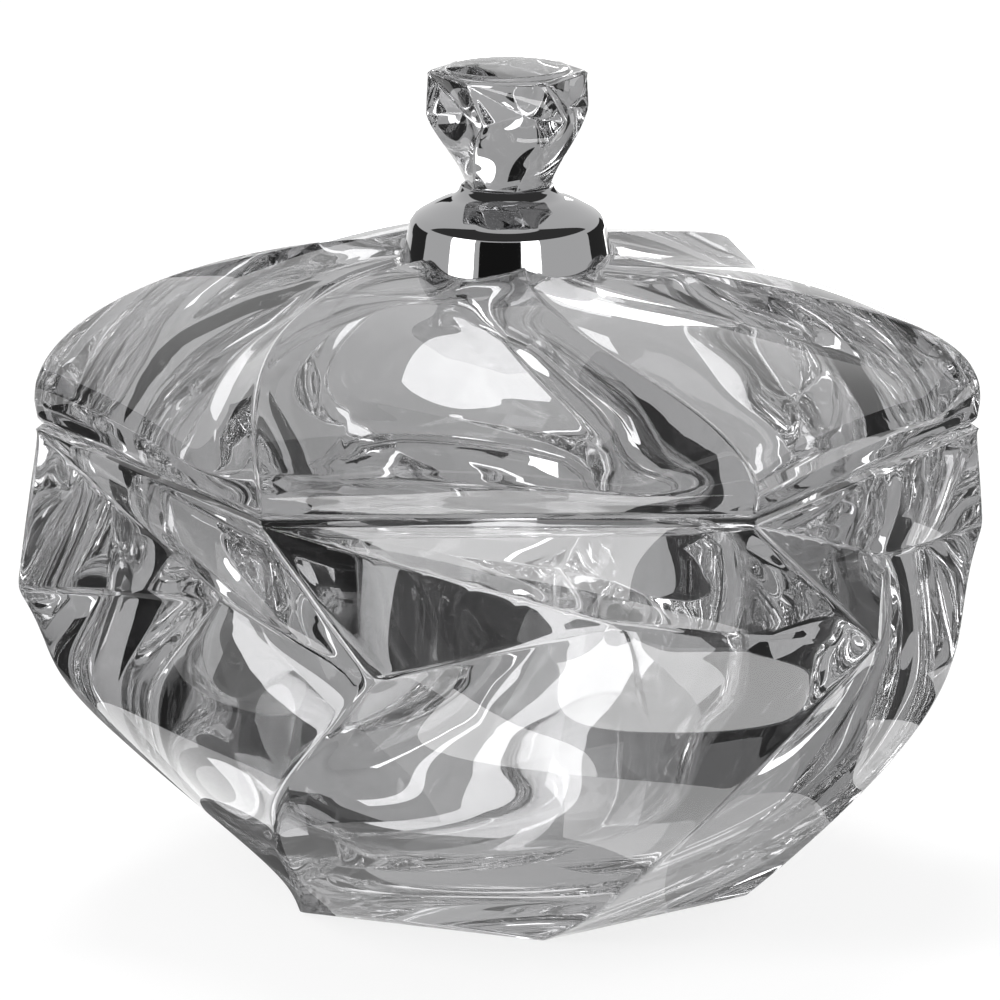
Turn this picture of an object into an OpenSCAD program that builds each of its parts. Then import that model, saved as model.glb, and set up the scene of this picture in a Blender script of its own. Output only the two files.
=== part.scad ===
// Lidded candy dish: bowl, lid and knob in pressed crystal glass, and a polished
// metal collar that joins the knob to the lid.
// The glass pieces share one idea: six equal sectors about the axis, each bounded
// by a sharp ridge that turns as it climbs. The knob is the bowl's form in small.
// The bowl stands on z = 0 and the axis of the dish is the z axis.
// A corner is written as radius, turn about the axis in degrees, and height.

/* [Bowl] */
// Height of the bowl from foot to rim
bowl_h = 75.4; // [66:0.2:90]
// Radius of the rim at its six corners
rim_r = 77; // [74:0.5:84]
// How far the zigzag corners, the widest points, stand out beyond the rim's
zig_out = 5.4; // [2:0.2:10]
// How far the zigzag corners lie below the rim
zig_drop = 22.4; // [16:0.2:26]
// Turn of the zigzag corners from the rim corners
zig_turn = 15.3; // [8:0.1:22]
// Glass left between the inside and the six points pressed into the waist
wall = 4.6; // [3.4:0.1:8]
// How far the waist points lie below the rim
waist_drop = 18.1; // [12:0.1:20]
// Turn of the waist points from the rim corners
waist_turn = 45.2; // [40:0.2:50]
// Radius of the foot at its six corners
foot_r = 42.4; // [36:0.2:45]
// Turn of the foot corners from the rim corners
foot_turn = -22.4; // [-30:0.1:-12]
// Height of the sloping band round the foot
foot_band = 4.3; // [3:0.1:7]
// How far the foot band stands out at its top
foot_flare = 5; // [2:0.1:8]
// How far the lower panels swell beyond flat
belly = 4; // [0:0.1:7]
// How far the upper panels swell beyond flat
shoulder = 1.6; // [0:0.1:3]

/* [Inside of the bowl] */
// Width of the flat rim beside the round opening, where it is narrowest
lip_w = 7.3; // [6:0.1:13]
// Thickness of the glass under the inside floor
floor_t = 11; // [7:0.5:16]
// Radius of the flat floor, where the inside starts to curve up
floor_r = 24.6; // [18:0.2:30]

/* [Lid] */
// Height of the dome from its lower edge to the collar
dome_h = 29.6; // [25:0.2:36]
// How far the lid's corners lie inside the corners of the rim
lid_inset = 0.3; // [0:0.1:3]
// Turn of the dome ridges where they meet the collar
swirl = -20.8; // [-28:0.1:-12]
// Depth of the valley in front of each dome ridge
valley = 4.6; // [1:0.1:5]
// How far the dome panels swell beyond flat
dome_swell = 3.2; // [0:0.1:5]
// Thickness of the crown, from the hollow to the tops of the ridges
crown_t = 7.1; // [6:0.1:13]

/* [Seat of the lid] */
// Gap all round between the locating ring and the bowl
ring_gap = 1.2; // [0.5:0.1:2.5]
// How far the locating ring reaches down into the bowl
ring_h = 4.5; // [2:0.1:7]
// Thickness of the locating ring
ring_t = 4; // [3:0.1:7]
// How far the upright inside of the ring carries on above the seat
ring_rise = 1; // [0.5:0.1:4]
// Rounding of the edges that meet between bowl and lid
edge = 0.9; // [0.4:0.1:1.5]

/* [Collar] */
// Radius of the collar at its lower edge
collar_r = 17.1; // [15:0.1:19]
// Height of the collar from the top of the dome's ridges to its neck
collar_h = 8.6; // [6.5:0.1:12]
// Rounding of the collar's shoulder
collar_round = 3.2; // [1:0.1:4]
// How deep the collar is let into the crown, below the valleys of the dome
collar_sink = 0.6; // [0.3:0.1:1.5]
// Gap between the side of the collar and the glass round it
collar_gap = 0.15; // [0.1:0.05:0.5]
// Height of the hollow neck that carries the knob
neck_h = 2.3; // [1.5:0.1:4]
// How far the neck's top stands out beyond the corners of the stem
neck_lip = 0.3; // [0.1:0.1:1]

/* [Knob] */
// Height of the knob from the collar's neck to its flat top
knob_h = 18.7; // [16:0.1:24]
// Radius of the knob's top at its six corners
knob_r = 13; // [11.5:0.1:15]
// Radius of the knob's zigzag corners
knob_zig_r = 13.7; // [12.5:0.1:16]
// How far the knob's zigzag corners lie below its top
knob_zig_drop = 6.8; // [5:0.1:9]
// Radius of the knob's waist points
knob_waist_r = 10; // [8.5:0.1:11]
// How far the knob's waist points lie below its top
knob_waist_drop = 5.6; // [4:0.1:7]
// Radius of the stem at its six corners
stem_r = 7.3; // [6:0.1:8.5]
// Turn of the stem corners from the knob corners
stem_turn = -19; // [-30:0.5:-10]
// Flat left round the disc, inside the straight sides of the knob's top
disc_margin = 0.6; // [0.2:0.1:3]
// Height of the disc above the knob
disc_h = 0.8; // [0.4:0.1:1.5]

/* [Hidden] */
glass = "#9da1a6";
metal = "#c9cbce";
sides = 6;
sector = 360 / sides;
// Columns of facets in one sector, an even number, and half of them
columns = 12;
half = columns / 2;
// Rows of facets: from a zigzag down to a foot, up the dome, and inside
bowl_rows = 13;
dome_rows = 13;
knob_rows = 6;
fillet_rows = 8;
hollow_rows = 6;
// How softly the upper panel turns into the sunk triangle, and how much of the
// arch of its swell is run through between rim and zigzag
fold = 0.22;
shoulder_reach = 0.85;
// The press below a waist point: how fast it fades towards the foot, how far it
// drifts across the sector, how round its bottom gets and how soon
press_fade = 3;
press_drift = 0.25;
press_round = 0.5;
press_soon = 1.5;
// Below 1 the lower panels swell most above their middle
belly_rise = 0.8;
// The valley between two dome ridges, low down and at the collar: its place across
// the sector, how round its bottom is and how much its gentle side is hollowed
valley_low = [0.8, 0.15, 1.8];
valley_high = [0.42, 0.6, 1];
// Shares of the dome over which valley and swell set in above its edge, and
// over which the valley changes below the collar, down to what is left of it
valley_in = 0.2;
swell_in = 0.4;
valley_out = 0.22;
valley_left = 0.65;

// Handles that swing a lower ridge into its S: each a share of the zigzag's
// radius, a turn back from the zigzag, and a share of the height under it
bowl_handles = [[0.87, 9, 0.69], [1, 17.3, 0.65]];
knob_handles = [[0.87, 15, 0.4], [0.6, 23, 0.22]];
// Handles that make a dome ridge climb steeply, then swing round as it flattens:
// each a share of the lid's radius, of the swirl and of the dome's height
dome_handles = [[1.07, -0.07, 0.6], [0.72, 1.3, 0.88]];
// Turn of the foot band between its top and the foot
band_turn = 8;
// Share of the dome's panels that is drawn in to the round of the collar
round_from = 0.5;
// How far the collar leans in, how far its top slopes, and how far its neck spreads
collar_draft = 1;
collar_slope = 2.4;
neck_curve = 3;
// Angles at which the collar's rounded shoulder and hollow neck are drawn
shoulder_at = [0 : 13.5 : 67.5];
neck_at = [0 : 22.5 : 90];
collar_sides = 96;
// Rounding of the collar's lower edge, so that it seats flat
collar_edge = 0.3;
// Turn of the knob's zigzag and waist points, and the swell of its facets
knob_zig_turn = 14;
knob_waist_turn = 45;
knob_swell = 0.5;
// Share of the disc's height at its rim, and of its radius that lies flat
disc_rim = 0.6;
disc_flat = 0.6;

// Everything across the bowl follows from the rim: the round opening leaves the
// rim its width, and the waist points are pressed in as far as the wall allows
zig_r = rim_r + zig_out;
mouth_r = (rim_r - edge) * cos(sector / 2) - lip_w;
waist_r = mouth_r + wall;
floor_fillet = mouth_r - floor_r;

// The bowl's corners, all measured from the rim
rim_at = [rim_r, 0, bowl_h - edge];
zig_at = [zig_r, zig_turn, bowl_h - zig_drop];
waist_at = [waist_r, waist_turn, bowl_h - waist_drop];
sole_at = [foot_r + foot_flare, foot_turn + band_turn, foot_band];
foot_at = [foot_r, foot_turn, 0];
bowl_pull = [for (h = bowl_handles) [zig_r * h[0], zig_turn - h[1], zig_at[2] * h[2]]];

// The lid rests on the rim, and its ring hangs inside the mouth
seat_z = bowl_h;
lid_r = rim_r - lid_inset;
ring_r = mouth_r - ring_gap;
hollow_r = ring_r - ring_t;
hollow_h = dome_h - crown_t;
dome_top = seat_z + dome_h;
dome_pull = [for (h = dome_handles) [lid_r * h[0], swirl * h[1], seat_z + dome_h * h[2]]];
// The dome ends round the collar, which sits in a flat recess below its valleys
crown_r = collar_r + collar_gap;
dome_ridge = [[lid_r, 0, seat_z + edge], dome_pull[0], dome_pull[1], [crown_r, swirl, dome_top]];
last_dip = valley * valley_left * tent(valley_high[0], valley_high[0], valley_high[1]);
crown_z = dome_top - last_dip - collar_sink;
collar_top = dome_top + collar_h;
neck_r = stem_r + neck_lip;
neck_z = collar_top - neck_curve / 4 + neck_h;

// The knob's corners, all measured from its top
knob_top = neck_z + knob_h;
knob_rim_at = [knob_r, 0, knob_top - edge / 2];
knob_zig_at = [knob_zig_r, knob_zig_turn, knob_top - knob_zig_drop];
knob_waist_at = [knob_waist_r, knob_waist_turn, knob_top - knob_waist_drop];
stem_at = [stem_r, stem_turn, neck_z];
knob_pull = [for (h = knob_handles) [knob_zig_r * h[0], knob_zig_turn - h[1], neck_z + knob_h * h[2]]];
disc_r = (knob_r - edge / 2) * cos(sector / 2) - disc_margin;

function mix(a, b, t) = a + (b - a) * t;
// A corner as x, y and z, in the sector that is i sixths round the axis
function spot(c, i = 0) = [
    c[0] * cos(c[1] + i * sector),
    c[0] * sin(c[1] + i * sector),
    c[2]];
function turn(p, a) = [
    p[0] * cos(a) - p[1] * sin(a),
    p[0] * sin(a) + p[1] * cos(a),
    p[2]];
function around(points) = [
    for (i = [0 : sides - 1])
        for (p = points)
            turn(p, i * sector)];
function curve(p, t) =
    pow(1 - t, 3) * p[0] + 3 * t * pow(1 - t, 2) * p[1] +
    3 * t * t * (1 - t) * p[2] + pow(t, 3) * p[3];
function arch(u) = 4 * u * (1 - u);
// The smaller of two values, rounded over where they cross
function soft_min(a, b, k) = (a + b - sqrt((a - b) * (a - b) + k * k)) / 2;
// From 0 up to 1 at the peak and back to 0, with a rounded top
function tent(u, peak, k, bow = 1) =
    soft_min(pow(u / peak, bow), (1 - u) / (1 - peak), k * arch(u));
// A push of d straight out from the axis at the point p
function outward(p, d) = [p[0], p[1], 0] * d / norm([p[0], p[1]]);

steps = [for (j = [0 : columns - 1]) j / columns];
// A ring of six straight sides through a corner, and a round ring
function hexagon(corner) = around([for (u = steps) mix(spot(corner), spot(corner, 1), u)]);
function circle_at(r, z, start = 0) = around([for (u = steps) spot([r, start + u * sector, z])]);

// A point of the upper band: t runs from rim to zigzag, u across the sector.
// The line from a rim corner to the waist point divides the sunk triangle
// from the broad panel, and it crosses u = t / 2.
function upper_point(rim, zig, waist, swell, u, t) =
    let (a = mix(spot(rim), spot(zig), t))
    let (b = turn(a, sector))
    let (cut = t / 2)
    let (press = mix(spot(rim), spot(waist), t) - mix(a, b, cut))
    let (v = max(0, (u - cut) / (1 - cut)))
    let (p = mix(a, b, u) + (t > 0 ? press * tent(u, cut, fold * (1 - t)) : [0, 0, 0]))
    p + outward(p, swell * arch(v) * arch(t * shoulder_reach));

// A point of the lower panels: s runs from zigzag to foot. The press in the
// waist carries on downward as a shallow valley that fades before the foot.
function lower_point(zig, waist, pull, sole, swell, u, s) =
    let (a = curve([spot(zig), spot(pull[0]), spot(pull[1]), spot(sole)], s))
    let (b = turn(a, sector))
    let (press = spot(waist) - mix(spot(zig), spot(zig, 1), 0.5))
    let (bottom = tent(u, 0.5 + press_drift * s, min(press_round, press_soon * s)))
    let (p = mix(a, b, u) + press * pow(1 - s, press_fade) * bottom)
    p + outward(p, swell * arch(u) * arch(pow(s, belly_rise)));

// The form that bowl and knob share, as rings from the foot up: twisted panels,
// then the zigzag with its pressed waist points, then the upper band to the rim
function crystal(rim, zig, waist, pull, sole, shoulder, belly, rows) = concat(
    [for (k = [rows : -1 : 1])
        around([for (u = steps) lower_point(zig, waist, pull, sole, belly, u, k / rows)])],
    [for (k = [half : -1 : 0])
        around([for (u = steps) upper_point(rim, zig, waist, shoulder, u, k / half)])]);

// Closed solid over rings of points. It starts and ends at a flat cap, a fan about
// the axis, and a ring may lie inside an earlier one, as in the wall of a vase. Each
// band is split along its shorter diagonals, and along a fold where one runs across it.
module skin(rings, fold_bands) {
    n = len(rings[0]);
    rows = len(rings) - 1;
    points = concat(
        [for (r = rings) for (p = r) p],
        [[0, 0, rings[0][0][2]], [0, 0, rings[rows][0][2]]]);
    start = (rows + 1) * n;
    caps = [
        for (j = [0 : n - 1])
            let (next = (j + 1) % n)
            each [[j, next, start], [rows * n + next, rows * n + j, start + 1]]];
    walls = [
        for (k = [0 : rows - 1])
            for (j = [0 : n - 1])
                let (a = k * n + j)
                let (b = k * n + (j + 1) % n)
                let (c = a + n)
                let (d = b + n)
                let (folded = k >= fold_bands[0] && k < fold_bands[1])
                let (short = norm(points[b] - points[c]) <= norm(points[a] - points[d]))
                each (folded || short ? [[a, c, b], [c, d, b]] : [[a, c, d], [a, d, b]])];
    polyhedron(points = points, faces = concat(walls, caps), convexity = 8);
}

// Inside of the bowl from the mouth down: round wall, one big fillet, flat floor
function bowl_inside() = concat(
    [circle_at(mouth_r - edge / 2, bowl_h), circle_at(mouth_r, bowl_h - edge / 2)],
    [for (a = [0 : 90 / fillet_rows : 90])
        circle_at(mouth_r - floor_fillet * (1 - cos(a)), floor_t + floor_fillet * (1 - sin(a)))]);

module bowl() {
    lip = [rim_r - edge, 0, bowl_h];
    form = crystal(rim_at, zig_at, waist_at, bowl_pull, sole_at, shoulder, belly, bowl_rows);
    color(glass)
        skin(concat([hexagon(foot_at)], form, [hexagon(lip)], bowl_inside()),
             [bowl_rows, bowl_rows + half + 1]);
}

// A point of the dome: t runs from the flat edge up to the collar. The panel is
// level with one ridge, sinks gently, and climbs steeply to the next ridge.
function dome_point(u, t) =
    let (a = curve([for (c = dome_ridge) spot(c)], t))
    let (p = mix(a, turn(a, sector), u))
    let (q = p + outward(p, dome_swell * arch(u) * min(1, t / swell_in)))
    let (near_collar = max(0, 1 - (1 - t) / valley_out))
    let (v = mix(valley_low, valley_high, near_collar))
    let (depth = valley * min(1, t / valley_in) * mix(1, valley_left, near_collar))
    let (dip = depth * tent(u, v[0], v[1], v[2]))
    let (into_round = pow(max(0, (t - round_from) / (1 - round_from)), 2))
    let (r = norm([q[0], q[1]]))
    q + outward(q, into_round * (norm([a[0], a[1]]) - r)) - [0, 0, dip];

function dome() = [
    for (k = [0 : dome_rows])
        around([for (u = steps) dome_point(u, k / dome_rows)])];

// Underside of the lid: the hollow is a cap of a sphere, down to the ring's foot,
// then the outside of the ring and the flat seat
function lid_inside() =
    let (rise = hollow_h - ring_rise)
    let (ball_r = (hollow_r * hollow_r + rise * rise) / (2 * rise))
    let (sweep = asin(hollow_r / ball_r))
    concat(
        [for (k = [1 : hollow_rows])
            let (a = sweep * k / hollow_rows)
            circle_at(ball_r * sin(a), seat_z + hollow_h - ball_r * (1 - cos(a)))],
        [circle_at(hollow_r, seat_z - ring_h + edge / 2),
         circle_at(hollow_r + edge / 2, seat_z - ring_h),
         circle_at(ring_r - edge, seat_z - ring_h),
         circle_at(ring_r, seat_z - ring_h + edge),
         circle_at(ring_r, seat_z)]);

module lid() {
    outside = concat([hexagon([lid_r - edge, 0, seat_z])], dome(), [circle_at(crown_r, crown_z, swirl)]);
    color(glass) skin(concat(lid_inside(), outside), [0, 0]);
}

// Collar of polished metal, turned about the axis: flat foot in the crown's recess,
// side that leans in, rounded shoulder, sloping top, and a hollow neck up to the knob
module collar() {
    c_r = collar_r - collar_draft - collar_round;
    c_z = collar_top - collar_slope - collar_round;
    low = [neck_r + neck_curve, collar_top - neck_curve / 4];
    outline = concat(
        [[0, crown_z], [collar_r - collar_edge, crown_z], [collar_r, crown_z + collar_edge]],
        [for (a = shoulder_at) [c_r + collar_round * cos(a), c_z + collar_round * sin(a)]],
        [for (a = neck_at) [mix(low[0], neck_r, sin(a)), mix(low[1], neck_z, 1 - cos(a))]],
        [[0, neck_z]]);
    color(metal) rotate_extrude($fn = collar_sides) polygon(outline);
}

// Faceted knob on its six-sided stem, with the round disc on top
module knob() {
    form = crystal(knob_rim_at, knob_zig_at, knob_waist_at, knob_pull, stem_at,
                   knob_swell, knob_swell, knob_rows);
    top = [
        hexagon([knob_r - edge / 2, 0, knob_top]),
        circle_at(disc_r, knob_top),
        circle_at(disc_r - edge / 4, knob_top + disc_h * disc_rim),
        circle_at(disc_r * disc_flat, knob_top + disc_h)];
    color(glass) skin(concat(form, top), [knob_rows - 1, knob_rows + half]);
}

bowl();
lid();
collar();
knob();
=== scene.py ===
import math

import bmesh
import bpy
from mathutils import Matrix, Vector


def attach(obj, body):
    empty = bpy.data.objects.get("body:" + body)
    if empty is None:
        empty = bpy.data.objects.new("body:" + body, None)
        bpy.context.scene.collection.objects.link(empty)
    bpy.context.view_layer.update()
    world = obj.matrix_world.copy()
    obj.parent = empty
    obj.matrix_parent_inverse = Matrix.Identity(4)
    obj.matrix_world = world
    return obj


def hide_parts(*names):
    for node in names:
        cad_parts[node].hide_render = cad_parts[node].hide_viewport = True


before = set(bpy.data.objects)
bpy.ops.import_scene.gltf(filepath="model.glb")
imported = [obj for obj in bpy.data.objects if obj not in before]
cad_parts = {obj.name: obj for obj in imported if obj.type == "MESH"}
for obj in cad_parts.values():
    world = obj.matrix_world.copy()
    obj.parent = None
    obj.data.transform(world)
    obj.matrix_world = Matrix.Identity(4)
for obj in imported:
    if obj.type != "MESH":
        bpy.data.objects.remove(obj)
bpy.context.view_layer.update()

# The bowl: one heavy piece of crystal glass, pressed in a mould by a round
# plunger and polished in the fire. Each of its six sectors has a zigzag ridge,
# a sunk triangular facet, a pressed waist and a panel turned to the foot.
MM = 0.001
SIDES = 6
SECTOR = math.tau / SIDES
BOWL_H = 75.4
EDGE = 0.9
RIM_R = 77.0
LIP_W = 1.5
MOUTH_R = 58.6
FLOOR_T = 11.0
FLOOR_FILLET = 34.0
FLOOR_FILLET_ROWS = 9
FLOOR_CENTRE_R = 12.0
SOLE_R = 47.4
FOOT_R = 42.4
FOOT_TURN = -8.0
FOOT_CENTRE = 0.93
BOWL_RIDGE = 0.032
BOWL_LOWER_ROWS = 18
BOWL_SHARPNESS = 0.8

# A wall's grid has twice as many columns as a crystal form has upper rows, so
# that the border of the sunk facet runs along the grid's diagonal.
COLUMNS = 16
UPPER_ROWS = COLUMNS // 2


def corner(radius, turn, height):
    """A corner from its radius and height in mm and its turn in degrees."""
    angle = math.radians(turn)
    return Vector((radius * math.cos(angle), radius * math.sin(angle), height)) * MM


def next_sector(point):
    return Matrix.Rotation(SECTOR, 3, "Z") @ point


def arch(u):
    """Rises from 0 to 1 halfway and falls back."""
    return 4 * u * (1 - u)


def tent(u, peak, softness, bow=1.0):
    """Rises from 0 to 1 at the peak and falls back, with a rounded top."""
    up = (u / peak) ** bow
    down = (1 - u) / (1 - peak)
    blend = softness * arch(u)
    return (up + down - math.sqrt((up - down) ** 2 + blend * blend)) / 2


def swing(points, t):
    """A point on the curve that four corners draw out."""
    s = 1 - t
    weights = (s ** 3, 3 * t * s * s, 3 * t * t * s, t ** 3)
    return sum((w * p for w, p in zip(weights, points)), Vector((0, 0, 0)))


def push_out(point, distance):
    flat = Vector((point.x, point.y, 0))
    return point + flat.normalized() * distance


class Crystal:
    """The corners of one crystal form, and the surface between them."""

    SHOULDER_REACH = 0.85
    PRESS_PEAK = 0.5
    PRESS_SHIFT = 0.25
    PRESS_SOFTEST = 0.5
    PRESS_SOFTENING = 1.5
    PRESS_FADE = 3
    BELLY_LIFT = 0.8

    def __init__(self, rim, zig, waist, pull, sole, shoulder, belly, fold):
        self.rim, self.zig, self.waist, self.sole = rim, zig, waist, sole
        self.pull = pull
        self.shoulder = shoulder * MM
        self.belly = belly * MM
        self.fold = fold

    def upper(self, u, t):
        """Upper band, t from rim to zigzag: sunk triangle, then broad panel."""
        near = self.rim.lerp(self.zig, t)
        point = near.lerp(next_sector(near), u)
        cut = t / 2
        if t > 0:
            press = self.rim.lerp(self.waist, t) - near.lerp(next_sector(near), cut)
            point = point + press * tent(u, cut, self.fold * (1 - t))
        panel = max(0.0, (u - cut) / (1 - cut))
        return push_out(point, self.shoulder * arch(panel) * arch(t * self.SHOULDER_REACH))

    def lower(self, u, s):
        """Lower panel, s from zigzag to sole, with the press fading out."""
        near = swing((self.zig, *self.pull, self.sole), s)
        point = near.lerp(next_sector(near), u)
        press = self.waist - self.zig.lerp(next_sector(self.zig), 0.5)
        valley = tent(u, self.PRESS_PEAK + self.PRESS_SHIFT * s,
                      min(self.PRESS_SOFTEST, s * self.PRESS_SOFTENING))
        point = point + press * (1 - s) ** self.PRESS_FADE * valley
        return push_out(point, self.belly * arch(u) * arch(s ** self.BELLY_LIFT))


def across(column, ridge):
    """Even columns, but for a narrow one on either side of a ridge."""
    if column in (0, COLUMNS):
        return column / COLUMNS
    return ridge + (1 - 2 * ridge) * (column - 1) / (COLUMNS - 2)


def sector_wall(place, rows, ridge, folded_rows=0):
    """One sector's wall from a grid, then turned round the axis six times.
    place gives the point at u across the sector and row, counted from the top.
    The grid is split along its diagonal in the folded rows."""
    mesh = bmesh.new()
    mesh.verts.layers.float.new("inner_skin")
    rounded = mesh.verts.layers.float.new("rounded_ridge")
    bmesh.ops.create_grid(mesh, x_segments=COLUMNS, y_segments=rows, size=0.5)
    spots = {vert: (round((vert.co.x + 0.5) * COLUMNS), round((0.5 - vert.co.y) * rows))
             for vert in mesh.verts}
    if folded_rows:
        fold = [vert for vert, (column, row) in spots.items() if column == row <= folded_rows]
        bmesh.ops.connect_verts(mesh, verts=fold)
    for vert, (column, row) in spots.items():
        vert.co = place(across(column, ridge), row)
        vert[rounded] = column in (0, COLUMNS)
    around = mesh.verts[:] + mesh.edges[:] + mesh.faces[:]
    bmesh.ops.spin(mesh, geom=around, cent=(0, 0, 0), axis=(0, 0, 1),
                   angle=SECTOR * (SIDES - 1), steps=SIDES - 1, use_duplicate=True)
    bmesh.ops.remove_doubles(mesh, verts=mesh.verts, dist=1e-6)
    return mesh


def crystal_wall(form, lower_rows, ridge):
    """The wall of a crystal form, from its rim down to its sole."""
    def place(u, row):
        if row <= UPPER_ROWS:
            return form.upper(u, 2 * across(row, ridge))
        return form.lower(u, (row - UPPER_ROWS) / lower_rows)
    return sector_wall(place, UPPER_ROWS + lower_rows, ridge, UPPER_ROWS)


def open_ring(mesh, top):
    """The wall's open edge at its top or at its foot."""
    edges = [edge for edge in mesh.edges if edge.is_boundary]
    middle = sum(edge.verts[0].co.z for edge in edges) / len(edges)
    return [edge for edge in edges if (edge.verts[0].co.z > middle) == top]


def grow(mesh, ring, place):
    """Extrudes a ring of edges and puts each new corner where place says."""
    made = bmesh.ops.extrude_edge_only(mesh, edges=ring)["geom"]
    for vert in made:
        if isinstance(vert, bmesh.types.BMVert):
            vert.co = place(vert.co)
    return [edge for edge in made if isinstance(edge, bmesh.types.BMEdge)]


def to_circle(radius, height):
    """Draws a ring out, or in, to a circle of that size in mm."""
    def place(point):
        flat = Vector((point.x, point.y, 0)).normalized() * radius * MM
        return Vector((flat.x, flat.y, height * MM))
    return place


def drawn_in(share, height):
    """Scales a ring towards the axis, at that height in mm."""
    return lambda point: Vector((point.x * share, point.y * share, height * MM))


def close(mesh, ring, height):
    """Closes a ring at the axis."""
    centre = Vector((0, 0, height * MM))
    made = bmesh.ops.extrude_edge_only(mesh, edges=ring)["geom"]
    tips = [vert for vert in made if isinstance(vert, bmesh.types.BMVert)]
    bmesh.ops.pointmerge(mesh, verts=tips, merge_co=centre)


def turn_inside(mesh, ring):
    """From this ring on, what is extruded belongs to the inner skin."""
    skin = mesh.verts.layers.float["inner_skin"]
    for edge in ring:
        for vert in edge.verts:
            vert[skin] = 1.0


FOLD_FROM = 12
FOLD_RANGE = 12


def polished_piece(name, mesh, sharpness):
    """Turns the cage into a finished piece. A fold keeps its edge in step
    with how far it turns, in degrees. Long ridges and the inside are round."""
    bmesh.ops.recalc_face_normals(mesh, faces=mesh.faces)
    crease = mesh.edges.layers.float.new("crease_edge")
    layers = mesh.verts.layers.float
    marks = [mark for mark in (layers.get("rounded_ridge"), layers.get("inner_skin")) if mark]
    for edge in mesh.edges:
        fold = math.degrees(edge.calc_face_angle(0.0))
        kept = min(1.0, max(0.0, (fold - FOLD_FROM) / FOLD_RANGE))
        is_round = any(all(vert[mark] > 0.5 for vert in edge.verts) for mark in marks)
        edge[crease] = 0.0 if is_round else sharpness * kept
    for face in mesh.faces:
        face.smooth = True
    data = bpy.data.meshes.new(name)
    mesh.to_mesh(data)
    mesh.free()
    piece = bpy.data.objects.new(name, data)
    bpy.context.scene.collection.objects.link(piece)
    smooth = piece.modifiers.new("fire_polish", "SUBSURF")
    smooth.levels = smooth.render_levels = 2
    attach(piece, "root")
    return piece


GLASS_IOR = 1.53
# The outer skin's grey is painted shade: it stands in for the dim surroundings seen through
# clear glass. The inner skin stays near clear, so the glass shows one even grey.
OUTER_PAINTED_SHADE = (0.335, 0.335, 0.34, 1)
INNER_TINT = (0.97, 0.97, 0.97, 1)
WAVE_SCALE = 24.0
WAVE_DEPTH = 0.002
WAVE_STRENGTH = 0.5


def crystal_glass(name):
    """Pressed glass, near clear inside; its outer skin is tinted grey as painted shade for
    the dim surroundings seen through it.
    The fire polish leaves faint waves in both."""
    material = bpy.data.materials.new(name)
    material.use_nodes = True
    nodes = material.node_tree.nodes
    links = material.node_tree.links
    shader = nodes["Principled BSDF"]
    shader.inputs["Roughness"].default_value = 0.0
    shader.inputs["IOR"].default_value = GLASS_IOR
    shader.inputs["Transmission Weight"].default_value = 1.0
    inner = nodes.new("ShaderNodeAttribute")
    inner.attribute_name = "inner_skin"
    # Painted shade: the outer skin is tinted grey and the inner skin is left clear.
    tint = nodes.new("ShaderNodeMix")
    tint.data_type = "RGBA"
    tint.inputs["A"].default_value = OUTER_PAINTED_SHADE
    tint.inputs["B"].default_value = INNER_TINT
    links.new(inner.outputs["Fac"], tint.inputs["Factor"])
    links.new(tint.outputs["Result"], shader.inputs["Base Color"])
    place = nodes.new("ShaderNodeTexCoord")
    waves = nodes.new("ShaderNodeTexNoise")
    waves.inputs["Scale"].default_value = WAVE_SCALE
    waves.inputs["Detail"].default_value = 0.0
    bump = nodes.new("ShaderNodeBump")
    bump.inputs["Strength"].default_value = WAVE_STRENGTH
    bump.inputs["Distance"].default_value = WAVE_DEPTH
    links.new(place.outputs["Object"], waves.inputs["Vector"])
    links.new(waves.outputs["Fac"], bump.inputs["Height"])
    links.new(bump.outputs["Normal"], shader.inputs["Normal"])
    return material


bowl_form = Crystal(
    rim=corner(RIM_R, 0, BOWL_H - EDGE),
    zig=corner(82.4, 15.3, 53.0),
    waist=corner(63.2, 45.2, 57.3),
    pull=(corner(71.7, 6.3, 36.6), corner(82.4, -2.0, 34.4)),
    sole=corner(SOLE_R, -14.4, 4.3),
    shoulder=1.6, belly=4.0, fold=0.22)
bowl_mesh = crystal_wall(bowl_form, BOWL_LOWER_ROWS, BOWL_RIDGE)
foot = open_ring(bowl_mesh, top=False)
rim = open_ring(bowl_mesh, top=True)

# The sloping band draws the panels in to the foot, which is a little turned.
foot_turn = (Matrix.Rotation(math.radians(FOOT_TURN), 3, "Z")
             @ Matrix.Scale(FOOT_R / SOLE_R, 3))


def onto_foot(point):
    flat = foot_turn @ point
    return Vector((flat.x, flat.y, 0))


foot = grow(bowl_mesh, foot, onto_foot)
foot = grow(bowl_mesh, foot, drawn_in(FOOT_CENTRE, 0))
close(bowl_mesh, foot, 0)

# The flat rim, the round mouth, and the hollow that the plunger leaves.
rim = grow(bowl_mesh, rim, drawn_in(1 - EDGE / RIM_R, BOWL_H))
rim = grow(bowl_mesh, rim, to_circle(MOUTH_R + LIP_W, BOWL_H))
turn_inside(bowl_mesh, rim)
rim = grow(bowl_mesh, rim, to_circle(MOUTH_R, BOWL_H - EDGE))
for step in range(FLOOR_FILLET_ROWS + 1):
    swept = math.radians(90 * step / FLOOR_FILLET_ROWS)
    rim = grow(bowl_mesh, rim, to_circle(
        MOUTH_R - FLOOR_FILLET * (1 - math.cos(swept)),
        FLOOR_T + FLOOR_FILLET * (1 - math.sin(swept))))
rim = grow(bowl_mesh, rim, to_circle(FLOOR_CENTRE_R, FLOOR_T))
close(bowl_mesh, rim, FLOOR_T)

bowl = polished_piece("bowl_crystal_body", bowl_mesh, BOWL_SHARPNESS)
bowl.data.materials.append(crystal_glass("bowl_crystal"))
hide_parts("bowl")

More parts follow.
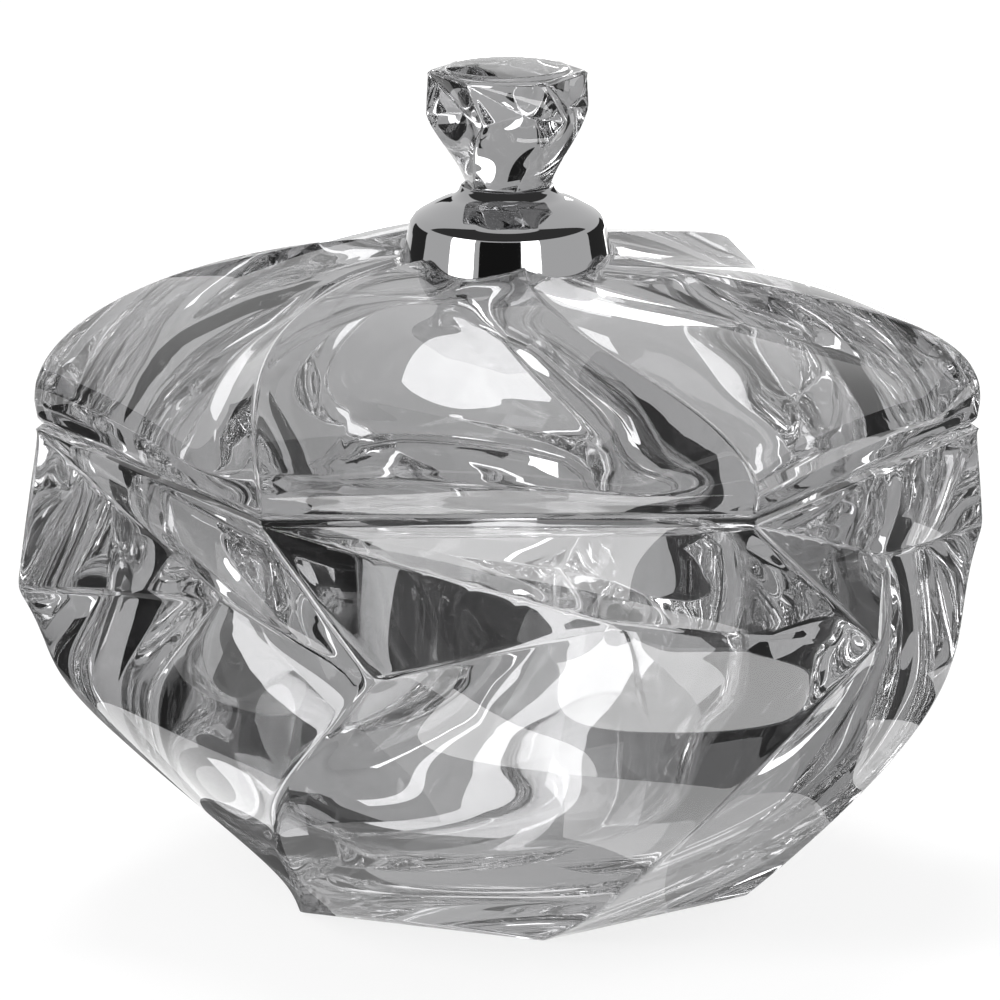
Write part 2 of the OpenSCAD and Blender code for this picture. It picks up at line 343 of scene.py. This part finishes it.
# The lid: one pressed piece of the same crystal, loose on the bowl's rim. Six
# ridges swirl up its dome to the recess that holds the collar, and a ring
# underneath hangs inside the bowl's mouth.
LID_R = 76.7
SEAT = BOWL_H
DOME_H = 29.6
DOME_TOP = SEAT + DOME_H
DOME_ROWS = 16
DOME_RIDGE = 0.012
DOME_SWELL = 3.2
SWELL_START = 0.4
ROUNDING_START = 0.5
SWIRL = -20.8
BULGE_R = 1.07
BULGE_TURN = 1.5
BULGE_H = 0.6
BEND_R = 0.72
BEND_TURN = 1.3
BEND_H = 0.88
VALLEY = 4.6
VALLEY_START = 0.2
CROWN_R = 17.25
CROWN_Z = 102.28
CROWN_CENTRE = 0.7
CROWN_REACH = 0.22
CROWN_FADE = 0.35
RING_R = 57.4
RING_H = 4.5
HOLLOW_R = 53.4
HOLLOW_H = 22.5
HOLLOW_START = 1.0
HOLLOW_ROWS = 8
LID_SHARPNESS = 0.85

# A valley's peak, softness and bow, on the open dome and beside the collar.
VALLEY_LOW = Vector((0.8, 0.15, 1.8))
VALLEY_HIGH = Vector((0.42, 0.6, 1.0))

# A ridge bulges out over the rim and bends over towards the crown.
dome_ridge = (
    corner(LID_R, 0, SEAT + EDGE),
    corner(LID_R * BULGE_R, BULGE_TURN, SEAT + DOME_H * BULGE_H),
    corner(LID_R * BEND_R, SWIRL * BEND_TURN, SEAT + DOME_H * BEND_H),
    corner(CROWN_R, SWIRL, DOME_TOP))


def dome_wall(u, row):
    """The panel is level with one ridge, sinks, and climbs steeply to the next.
    It swells over the rim, and turns from six sides to round at the crown."""
    t = 1 - row / DOME_ROWS
    near = swing(dome_ridge, t)
    point = near.lerp(next_sector(near), u)
    point = push_out(point, DOME_SWELL * MM * arch(u) * min(1, t / SWELL_START))
    rounding = max(0, (t - ROUNDING_START) / (1 - ROUNDING_START)) ** 2
    short = math.hypot(near.x, near.y) - math.hypot(point.x, point.y)
    point = push_out(point, rounding * short)
    near_crown = max(0, 1 - (1 - t) / CROWN_REACH)
    depth = VALLEY * MM * min(1, t / VALLEY_START) * (1 - CROWN_FADE * near_crown)
    dip = depth * tent(u, *VALLEY_LOW.lerp(VALLEY_HIGH, near_crown))
    return point - Vector((0, 0, dip))


lid_mesh = sector_wall(dome_wall, DOME_ROWS, DOME_RIDGE)
seat = open_ring(lid_mesh, top=False)
crown = open_ring(lid_mesh, top=True)
crown = grow(lid_mesh, crown, to_circle(CROWN_R, CROWN_Z))
crown = grow(lid_mesh, crown, to_circle(CROWN_R * CROWN_CENTRE, CROWN_Z))
close(lid_mesh, crown, CROWN_Z)

seat = grow(lid_mesh, seat, drawn_in(1 - EDGE / LID_R, SEAT))
seat = grow(lid_mesh, seat, to_circle(RING_R, SEAT))
turn_inside(lid_mesh, seat)
for radius, height in ((RING_R, SEAT - RING_H + EDGE),
                       (RING_R - EDGE, SEAT - RING_H),
                       (HOLLOW_R + EDGE / 2, SEAT - RING_H),
                       (HOLLOW_R, SEAT - RING_H + EDGE / 2)):
    seat = grow(lid_mesh, seat, to_circle(radius, height))
rise = HOLLOW_H - HOLLOW_START
ball_r = (HOLLOW_R ** 2 + rise ** 2) / (2 * rise)
sweep = math.asin(HOLLOW_R / ball_r)
for step in range(HOLLOW_ROWS, 0, -1):
    swept = sweep * step / HOLLOW_ROWS
    seat = grow(lid_mesh, seat, to_circle(
        ball_r * math.sin(swept), SEAT + HOLLOW_H - ball_r * (1 - math.cos(swept))))
close(lid_mesh, seat, SEAT + HOLLOW_H)

lid = polished_piece("lid_crystal_body", lid_mesh, LID_SHARPNESS)
lid.data.materials.append(crystal_glass("lid_crystal"))
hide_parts("lid")

# The collar: a turned ring of polished, plated metal between lid and knob. Its
# foot sits in the crown's recess, and its top slopes up to a hollow neck that
# the knob's stem stands on.
COLLAR_R = 17.1
COLLAR_H = 8.6
COLLAR_ROUND = 3.2
COLLAR_DRAFT = 1.0
COLLAR_SLOPE = 2.4
COLLAR_EDGE = 0.3
COLLAR_CENTRE_R = 8.0
COLLAR_SIDES = 96
HOLD = 0.1
JOINT_GAP = 0.03
NECK_R = 7.6
NECK_Z = 115.15
NECK_CURVE = 3.0
NECK_EDGE = 0.15
collar_foot = CROWN_Z + JOINT_GAP
collar_neck = NECK_Z - JOINT_GAP
collar_top = DOME_TOP + COLLAR_H
neck_start = collar_top - NECK_CURVE / 4
shoulder_r = COLLAR_R - COLLAR_DRAFT - COLLAR_ROUND
shoulder_z = collar_top - COLLAR_SLOPE - COLLAR_ROUND

# Rings set close together hold the smoothed surface to the collar's edges.
collar_profile = [
    (COLLAR_R - 2 * COLLAR_EDGE, collar_foot),
    (COLLAR_R - COLLAR_EDGE, collar_foot),
    (COLLAR_R, collar_foot + COLLAR_EDGE),
    (COLLAR_R - HOLD, collar_foot + 2 * COLLAR_EDGE),
    (shoulder_r + COLLAR_ROUND + HOLD, shoulder_z - 2 * COLLAR_EDGE)]
for turn in (0.0, 22.5, 45.0, 67.5):
    swept = math.radians(turn)
    collar_profile.append((shoulder_r + COLLAR_ROUND * math.cos(swept),
                           shoulder_z + COLLAR_ROUND * math.sin(swept)))
for turn in (0.0, 30.0, 60.0, 90.0):
    swept = math.radians(turn)
    collar_profile.append((NECK_R + NECK_CURVE * (1 - math.sin(swept)),
                           neck_start + (collar_neck - neck_start) * (1 - math.cos(swept))))
collar_profile.append((NECK_R - NECK_EDGE, collar_neck))

collar_mesh = bmesh.new()
bmesh.ops.create_circle(collar_mesh, segments=COLLAR_SIDES, radius=COLLAR_CENTRE_R * MM,
                        matrix=Matrix.Translation((0, 0, collar_foot * MM)))
close(collar_mesh, collar_mesh.edges[:], collar_foot)
side = [edge for edge in collar_mesh.edges if edge.is_boundary]
for radius, height in collar_profile:
    side = grow(collar_mesh, side, to_circle(radius, height))
close(collar_mesh, side, collar_neck)

PLATING_TONE = (0.34, 0.34, 0.345, 1)
POLISH_SCALE = 260.0
POLISH_DETAIL = 3.0
POLISH_BEST = 0.01
POLISH_WORST = 0.05
RIPPLE_STRENGTH = 0.02
RIPPLE_DEPTH = 0.0005
plating = bpy.data.materials.new("collar_metal")
plating.use_nodes = True
nodes = plating.node_tree.nodes
links = plating.node_tree.links
shader = nodes["Principled BSDF"]
shader.inputs["Base Color"].default_value = PLATING_TONE
shader.inputs["Metallic"].default_value = 1.0
place = nodes.new("ShaderNodeTexCoord")
polish = nodes.new("ShaderNodeTexNoise")
polish.inputs["Scale"].default_value = POLISH_SCALE
polish.inputs["Detail"].default_value = POLISH_DETAIL
sheen = nodes.new("ShaderNodeMapRange")
sheen.inputs["To Min"].default_value = POLISH_BEST
sheen.inputs["To Max"].default_value = POLISH_WORST
ripple = nodes.new("ShaderNodeBump")
ripple.inputs["Strength"].default_value = RIPPLE_STRENGTH
ripple.inputs["Distance"].default_value = RIPPLE_DEPTH
links.new(place.outputs["Object"], polish.inputs["Vector"])
links.new(polish.outputs["Fac"], sheen.inputs["Value"])
links.new(sheen.outputs["Result"], shader.inputs["Roughness"])
links.new(polish.outputs["Fac"], ripple.inputs["Height"])
links.new(ripple.outputs["Normal"], shader.inputs["Normal"])

collar = polished_piece("collar_ring", collar_mesh, 0.0)
collar.data.materials.append(plating)
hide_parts("collar")

# The knob: pressed crystal, the bowl's form in small on a six-sided stem, with
# a low round disc on its flat top. It stands on the collar's neck.
KNOB_H = 18.7
KNOB_TOP = NECK_Z + KNOB_H
KNOB_R = 13.0
KNOB_EDGE = EDGE / 2
KNOB_RIDGE = 0.06
KNOB_LOWER_ROWS = 10
STEM_R = 7.3
STEM_CENTRE = 0.97
DISC_R = 10.27
DISC_H = 0.8
DISC_SLOPE = 0.4
DISC_SHOULDER_H = 0.6
DISC_CENTRE = 0.6
KNOB_SHARPNESS = 0.85

knob_form = Crystal(
    rim=corner(KNOB_R, 0, KNOB_TOP - KNOB_EDGE),
    zig=corner(13.7, 14, KNOB_TOP - 6.8),
    waist=corner(10.0, 45, KNOB_TOP - 5.6),
    pull=(corner(11.9, -1, NECK_Z + KNOB_H * 0.4),
          corner(STEM_R + 0.9, -9, NECK_Z + KNOB_H * 0.22)),
    sole=corner(STEM_R, -19, NECK_Z),
    shoulder=0.5, belly=0.5, fold=0.22)
knob_mesh = crystal_wall(knob_form, KNOB_LOWER_ROWS, KNOB_RIDGE)
stem = open_ring(knob_mesh, top=False)
disc = open_ring(knob_mesh, top=True)
stem = grow(knob_mesh, stem, drawn_in(STEM_CENTRE, NECK_Z))
close(knob_mesh, stem, NECK_Z)

disc = grow(knob_mesh, disc, drawn_in(1 - KNOB_EDGE / KNOB_R, KNOB_TOP))
disc = grow(knob_mesh, disc, to_circle(DISC_R, KNOB_TOP))
disc = grow(knob_mesh, disc, to_circle(
    DISC_R - DISC_SLOPE, KNOB_TOP + DISC_H * DISC_SHOULDER_H))
disc = grow(knob_mesh, disc, to_circle(DISC_R * DISC_CENTRE, KNOB_TOP + DISC_H))
close(knob_mesh, disc, KNOB_TOP + DISC_H)

knob = polished_piece("knob_crystal_body", knob_mesh, KNOB_SHARPNESS)
knob.data.materials.append(crystal_glass("knob_crystal"))
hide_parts("knob")

# The table top: a plain white sheet that takes the dish's faint shadow. It lies
# a hair below the foot, so that glass and paper don't share one face. From here
# on sizes are in metres.
TABLE_R = 4.0
TABLE_Z = -0.0004
PAPER_TONE = (0.11, 0.11, 0.11, 1)
PAPER_GLOW = 0.83


def show_apart(tree, surface, to_others, to_sight):
    """One shader for the camera and for what glass and metal pass on or
    mirror, and another one for all other light."""
    rays = tree.nodes.new("ShaderNodeLightPath")
    sight = rays.outputs["Is Camera Ray"]
    for kind in ("Is Glossy Ray", "Is Transmission Ray"):
        either = tree.nodes.new("ShaderNodeMath")
        either.operation = "MAXIMUM"
        tree.links.new(sight, either.inputs[0])
        tree.links.new(rays.outputs[kind], either.inputs[1])
        sight = either.outputs[0]
    pick = tree.nodes.new("ShaderNodeMixShader")
    tree.links.new(sight, pick.inputs["Fac"])
    tree.links.new(to_others.outputs[0], pick.inputs[1])
    tree.links.new(to_sight.outputs[0], pick.inputs[2])
    tree.links.new(pick.outputs[0], surface)


bpy.ops.mesh.primitive_circle_add(vertices=96, radius=TABLE_R, fill_type="NGON")
table = bpy.context.object
table.name = "table_top"
table.location.z = TABLE_Z
paper = bpy.data.materials.new("white_paper")
paper.use_nodes = True
nodes = paper.node_tree.nodes
links = paper.node_tree.links
nodes.remove(nodes["Principled BSDF"])
matt = nodes.new("ShaderNodeBsdfDiffuse")
matt.inputs["Color"].default_value = PAPER_TONE
glow = nodes.new("ShaderNodeEmission")
glow.inputs["Strength"].default_value = PAPER_GLOW
both = nodes.new("ShaderNodeAddShader")
links.new(matt.outputs[0], both.inputs[0])
links.new(glow.outputs[0], both.inputs[1])
show_apart(paper.node_tree, nodes["Material Output"].inputs["Surface"], matt, both)
table.data.materials.append(paper)

# The studio: white all round where camera, glass and metal look, and a plain
# level of soft light elsewhere. Three soft boxes light the table.
AIR_LEVEL = 0.7
WHITE_LEVEL = 1.0
world = bpy.data.worlds.new("studio")
bpy.context.scene.world = world
world.use_nodes = True
nodes = world.node_tree.nodes
air = nodes["Background"]
white = nodes.new("ShaderNodeBackground")
for backdrop, level in ((air, AIR_LEVEL), (white, WHITE_LEVEL)):
    backdrop.inputs["Color"].default_value = (1, 1, 1, 1)
    backdrop.inputs["Strength"].default_value = level
show_apart(world.node_tree, nodes["World Output"].inputs["Surface"], air, white)


def soft_box(name, place, width, height, power):
    """A lamp that points at the dish, and that glass and metal don't show."""
    lamp = bpy.data.lights.new(name, "AREA")
    lamp.shape = "RECTANGLE"
    lamp.size, lamp.size_y = width, height
    lamp.energy = power
    stand = bpy.data.objects.new(name, lamp)
    stand.location = place
    aim = Vector((0, 0, 0.06)) - Vector(place)
    stand.rotation_euler = aim.to_track_quat("-Z", "Y").to_euler()
    stand.visible_glossy = stand.visible_transmission = False
    bpy.context.scene.collection.objects.link(stand)


soft_box("left_box", (-0.9, -0.5, 0.7), 0.3, 0.9, 16)
soft_box("right_box", (1.0, 0.7, 0.55), 0.35, 0.7, 16)
soft_box("top_box", (-0.1, 0.5, 1.2), 0.6, 0.35, 18)

# The cards: black flags and bright panels that stand round the dish and lie on
# the table. Only glass and metal see them. They give the crystal its black
# patches and white flows, and the collar its hard bands.
CARD_Z = TABLE_Z / 2
WALL_R = 1.2
CARD_STEP = 6


def card(name, turn_from, turn_to, start, end, glow):
    """A card bent round the dish, swept from a line that is given by distance
    and height. Turns are in degrees, clockwise from behind the dish."""
    sweep = bmesh.new()
    angle = math.radians(turn_from)
    line = [sweep.verts.new((distance * math.sin(angle), distance * math.cos(angle), height))
            for distance, height in (start, end)]
    bmesh.ops.spin(sweep, geom=line + [sweep.edges.new(line)], axis=(0, 0, -1),
                   cent=(0, 0, 0), angle=math.radians(turn_to - turn_from),
                   steps=max(2, round((turn_to - turn_from) / CARD_STEP)))
    data = bpy.data.meshes.new(name)
    sweep.to_mesh(data)
    sweep.free()
    sheet = bpy.data.objects.new(name, data)
    bpy.context.scene.collection.objects.link(sheet)
    sheet.visible_camera = sheet.visible_shadow = sheet.visible_diffuse = False
    skin = bpy.data.materials.new(name)
    skin.use_nodes = True
    parts = skin.node_tree.nodes
    parts.remove(parts["Principled BSDF"])
    light = parts.new("ShaderNodeEmission")
    light.inputs["Strength"].default_value = glow
    skin.node_tree.links.new(light.outputs[0], parts["Material Output"].inputs["Surface"])
    sheet.data.materials.append(skin)


def wall_card(name, turn_from, turn_to, low, high, glow):
    card(name, turn_from, turn_to, (WALL_R, low), (WALL_R, high), glow)


def table_card(name, turn_from, turn_to, near, far, glow):
    card(name, turn_from, turn_to, (near, CARD_Z), (far, CARD_Z), glow)


card("room", 66, 290, (WALL_R, 0.62), (0.45, 1.35), 0.08)
wall_card("camera_side", 165, 212, 0, 0.53, 0.02)
wall_card("left_front_box", 218, 248, 0, 0.60, 8.0)
wall_card("right_front_box", 142, 164, 0, 0.60, 7.0)
wall_card("right_flag", 24, 73, 0, 0.34, 0.05)
wall_card("left_flag", 287, 323, 0, 0.34, 0.05)
wall_card("back_dark", -13, -1, 0.36, 0.62, 0.03)
wall_card("back_bright", 4, 11, 0.36, 0.62, 6.0)
table_card("table_far", 90, 300, 0.26, 0.9, 0.05)
table_card("table_strip", 168, 192, 0.10, 0.26, 6.0)
table_card("table_right", 60, 168, 0.10, 0.26, 0.05)
table_card("table_left", 192, 303, 0.10, 0.26, 0.03)
table_card("table_near_right", 100, 146, 0.06, 0.10, 0.3)
table_card("table_near_edge", 79, 100, 0.06, 0.10, 0.05)
table_card("table_near_strip", 146, 172, 0.06, 0.10, 3.4)
table_card("table_near_left", 192, 235, 0.06, 0.10, 0.05)
table_card("table_near_side", 235, 282, 0.06, 0.10, 1.6)
table_card("table_back_left", 303, 325, 0.06, 0.16, 0.2)
table_card("table_back", -26, 10, 0.12, 0.16, 3.0)
table_card("table_back_far", -12, 34, 0.9, 3.0, 4.5)
table_card("table_right_far", 34, 57, 0.45, 1.2, 0.05)
table_card("table_right_back", 34, 60, 0.16, 0.45, 0.1)
table_card("foot_back", -45, 45, 0.0, 0.06, 2.5)
table_card("foot_right", 45, 135, 0.0, 0.06, 0.6)
table_card("foot_left", 225, 315, 0.0, 0.06, 0.12)
table_card("foot_front", 135, 225, 0.0, 0.06, 0.9)

# The camera stands where the photographer's did: a long lens, a little above.
# The lens is given in widths of the picture.
EYE_ELEVATION = math.radians(13.64)
EYE_DISTANCE = 1.3433
EYE_LENS = 8.2263
SENSOR = 36
LOOK_AT = Vector((-0.0012, 0, 0.0625))
eye = bpy.data.cameras.new("eye")
eye.sensor_width = SENSOR
eye.lens = EYE_LENS * SENSOR
camera = bpy.data.objects.new("eye", eye)
bpy.context.scene.collection.objects.link(camera)
toward = Vector((0, math.cos(EYE_ELEVATION), -math.sin(EYE_ELEVATION)))
camera.location = LOOK_AT - toward * EYE_DISTANCE
camera.rotation_euler = toward.to_track_quat("-Z", "Y").to_euler()
bpy.context.scene.camera = camera
bpy.context.scene.view_settings.view_transform = "Standard"

# Light bounces many times inside thick cut glass before it comes out.
bpy.context.scene.cycles.max_bounces = 32
bpy.context.scene.cycles.glossy_bounces = 24
bpy.context.scene.cycles.transmission_bounces = 24
